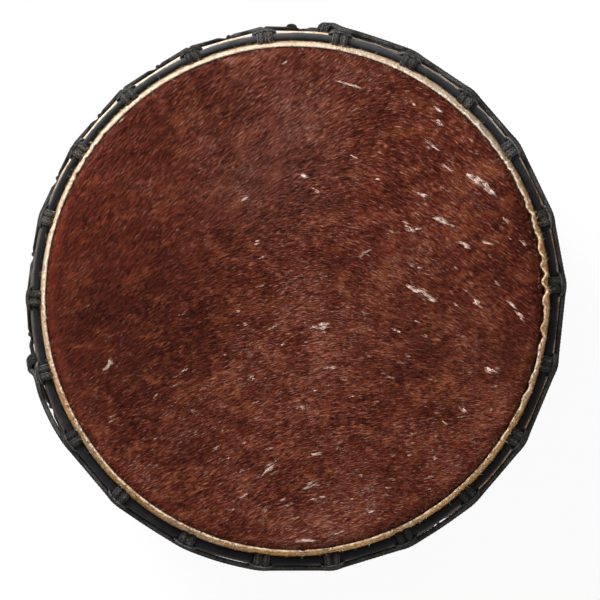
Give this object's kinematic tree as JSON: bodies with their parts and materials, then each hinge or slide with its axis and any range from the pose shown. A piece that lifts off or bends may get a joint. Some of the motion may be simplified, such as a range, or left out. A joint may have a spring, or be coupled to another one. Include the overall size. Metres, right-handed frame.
{
  "type": "dunun",
  "caption": "Large rope-tuned cylinder drum with hair-on cowhide heads, cloth-wound crown rings, hitched cradle ropes and a laced tension rope.",
  "frame": {"origin": "centre of the lower hide's outer face, on the surface that the drum stands on", "axes": "+Z up along the drum's axis to the playing hide; +X to the right and +Y up in the picture, which looks straight down -Z"},
  "size_m": [0.5092, 0.5171, 0.66],
  "materials": {
    "shell_wood": "oiled",
    "cowhide": "hair on",
    "ring_steel": "dull",
    "ring_cloth": "wound tight",
    "rope": "braided"
  },
  "bodies": {
    "drum": {"shell": "shell_wood", "top_hide": "cowhide", "bottom_hide": "cowhide", "tension_rope": "rope"},
    "top_rings": {"top_flesh_ring": "ring_steel", "top_crown_ring": "ring_steel", "top_ring_cloth": "ring_cloth", "top_cradle_rope": "rope"},
    "bottom_rings": {"bottom_flesh_ring": "ring_steel", "bottom_crown_ring": "ring_steel", "bottom_ring_cloth": "ring_cloth", "bottom_cradle_rope": "rope"}
  },
  "joints": [
    {"name": "top_tuning", "type": "slide", "parent": "drum", "child": "top_rings", "axis": [0, 0, -1], "range_m": [-0.004, 0.008], "deforming": ["top_hide", "tension_rope"]},
    {"name": "bottom_tuning", "type": "slide", "parent": "drum", "child": "bottom_rings", "axis": [0, 0, 1], "range_m": [-0.004, 0.008], "deforming": ["bottom_hide", "tension_rope"]}
  ],
  "couplings": [
    {"joint": "bottom_tuning", "follows": "top_tuning", "ratio": 1}
  ]
}
